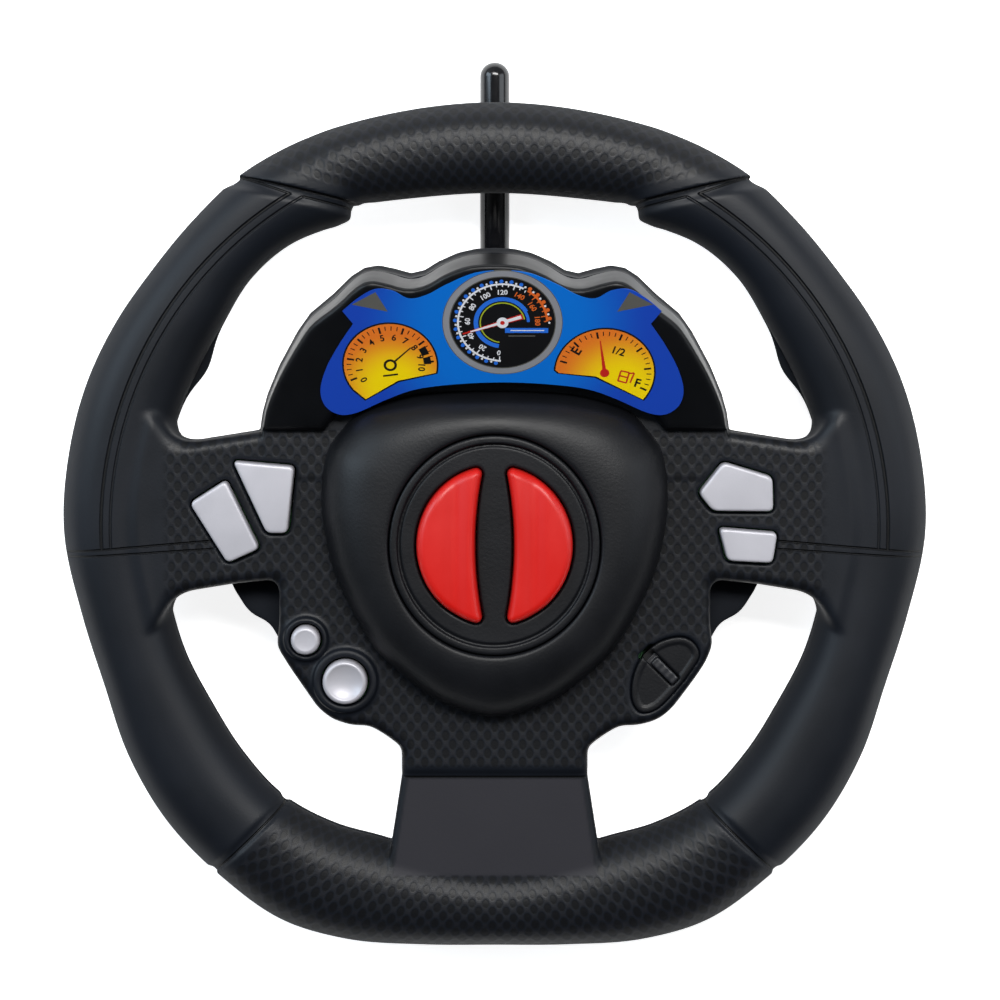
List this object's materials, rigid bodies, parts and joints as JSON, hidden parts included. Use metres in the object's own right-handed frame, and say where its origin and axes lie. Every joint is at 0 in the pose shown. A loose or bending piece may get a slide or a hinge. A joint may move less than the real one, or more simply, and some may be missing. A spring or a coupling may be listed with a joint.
{
  "type": "steering wheel toy transmitter",
  "caption": "Toy steering-wheel radio transmitter: ring rim with spokes, cushion with two half-moon buttons, dash housing, side keys, slide switch, battery box and rear antenna.",
  "frame": {"origin": "on the flat underside of the battery door, under the middle of the wheel, in the plane the transmitter lies on", "axes": "+Z out of the front face towards the player, +Y to the top of the wheel where the antenna points, +X to the player's right"},
  "size_m": [0.18, 0.1852, 0.046],
  "materials": {
    "shell_plastic": "moulded ABS, satin and hexagon-grained",
    "printed_label": "printed vinyl sticker",
    "red_plastic": "moulded, satin gloss",
    "silver_paint": "silver-painted plastic",
    "antenna_plastic": "polished",
    "dome_rubber": "silicone",
    "plated_steel": "nickel plated",
    "cell_jacket": "plain jacket",
    "circuit_board": "paper laminate",
    "chip_epoxy": "moulded epoxy",
    "coil_wire": "enamelled copper wire",
    "red_wire": "PVC",
    "black_wire": "PVC"
  },
  "bodies": {
    "housing": {"front_shell": "shell_plastic", "back_shell": "shell_plastic", "hub_pad": "shell_plastic", "button_bezel": "shell_plastic", "dash_housing": "shell_plastic", "dash_label": "printed_label", "switch_plate": "shell_plastic", "power_switch_body": "plated_steel", "antenna": "antenna_plastic", "antenna_collar": "antenna_plastic", "battery_door": "shell_plastic", "battery_door_screw": "plated_steel", "case_screw_top_right": "plated_steel", "case_screw_top_left": "plated_steel", "case_screw_bottom_right": "plated_steel", "case_screw_bottom_left": "plated_steel", "case_screw_hub_right": "plated_steel", "case_screw_hub_left": "plated_steel", "case_screw_stem": "plated_steel", "battery_cell_upper": "cell_jacket", "battery_cell_lower": "cell_jacket", "terminal_positive": "plated_steel", "terminal_negative": "plated_steel", "contact_bridge": "plated_steel", "main_board": "circuit_board", "key_board_left": "circuit_board", "key_board_right": "circuit_board", "control_chip": "chip_epoxy", "crystal_can": "plated_steel", "tuning_coil_can": "plated_steel", "loading_coil": "coil_wire", "dome_red_left": "dome_rubber", "dome_red_right": "dome_rubber", "dome_silver_left_outer": "dome_rubber", "dome_silver_left_inner": "dome_rubber", "dome_silver_right_upper": "dome_rubber", "dome_silver_right_lower": "dome_rubber", "dome_round_large": "dome_rubber", "dome_round_small": "dome_rubber", "lead_positive": "red_wire", "lead_negative": "black_wire", "key_lead_left": "black_wire", "key_lead_right": "black_wire", "antenna_lead": "black_wire"},
    "red_button_left_body": {"red_button_left": "red_plastic"},
    "red_button_right_body": {"red_button_right": "red_plastic"},
    "silver_button_left_outer_body": {"silver_button_left_outer": "silver_paint"},
    "silver_button_left_inner_body": {"silver_button_left_inner": "silver_paint"},
    "silver_button_right_upper_body": {"silver_button_right_upper": "silver_paint"},
    "silver_button_right_lower_body": {"silver_button_right_lower": "silver_paint"},
    "round_button_large_body": {"round_button_large": "silver_paint"},
    "round_button_small_body": {"round_button_small": "silver_paint"},
    "power_switch_knob_body": {"power_switch_knob": "shell_plastic"}
  },
  "joints": [
    {"name": "red_button_left_press", "type": "slide", "parent": "housing", "child": "red_button_left_body", "axis": [0, 0, -1], "range_m": [0, 0.0015], "stiffness_N_per_m": 500, "springref_m": -0.001, "deforming": ["dome_red_left"]},
    {"name": "red_button_right_press", "type": "slide", "parent": "housing", "child": "red_button_right_body", "axis": [0, 0, -1], "range_m": [0, 0.0015], "stiffness_N_per_m": 500, "springref_m": -0.001, "deforming": ["dome_red_right"]},
    {"name": "silver_button_left_outer_press", "type": "slide", "parent": "housing", "child": "silver_button_left_outer_body", "axis": [0, 0, -1], "range_m": [0, 0.001], "stiffness_N_per_m": 400, "springref_m": -0.001, "deforming": ["dome_silver_left_outer"]},
    {"name": "silver_button_left_inner_press", "type": "slide", "parent": "housing", "child": "silver_button_left_inner_body", "axis": [0, 0, -1], "range_m": [0, 0.001], "stiffness_N_per_m": 400, "springref_m": -0.001, "deforming": ["dome_silver_left_inner"]},
    {"name": "silver_button_right_upper_press", "type": "slide", "parent": "housing", "child": "silver_button_right_upper_body", "axis": [0, 0, -1], "range_m": [0, 0.001], "stiffness_N_per_m": 400, "springref_m": -0.001, "deforming": ["dome_silver_right_upper"]},
    {"name": "silver_button_right_lower_press", "type": "slide", "parent": "housing", "child": "silver_button_right_lower_body", "axis": [0, 0, -1], "range_m": [0, 0.001], "stiffness_N_per_m": 400, "springref_m": -0.001, "deforming": ["dome_silver_right_lower"]},
    {"name": "round_button_large_press", "type": "slide", "parent": "housing", "child": "round_button_large_body", "axis": [0, 0, -1], "range_m": [0, 0.001], "stiffness_N_per_m": 400, "springref_m": -0.001, "deforming": ["dome_round_large"]},
    {"name": "round_button_small_press", "type": "slide", "parent": "housing", "child": "round_button_small_body", "axis": [0, 0, -1], "range_m": [0, 0.001], "stiffness_N_per_m": 400, "springref_m": -0.001, "deforming": ["dome_round_small"]},
    {"name": "power_switch_slide", "type": "slide", "parent": "housing", "child": "power_switch_knob_body", "axis": [-0.7071, 0.7071, 0], "range_m": [0, 0.002]}
  ]
}
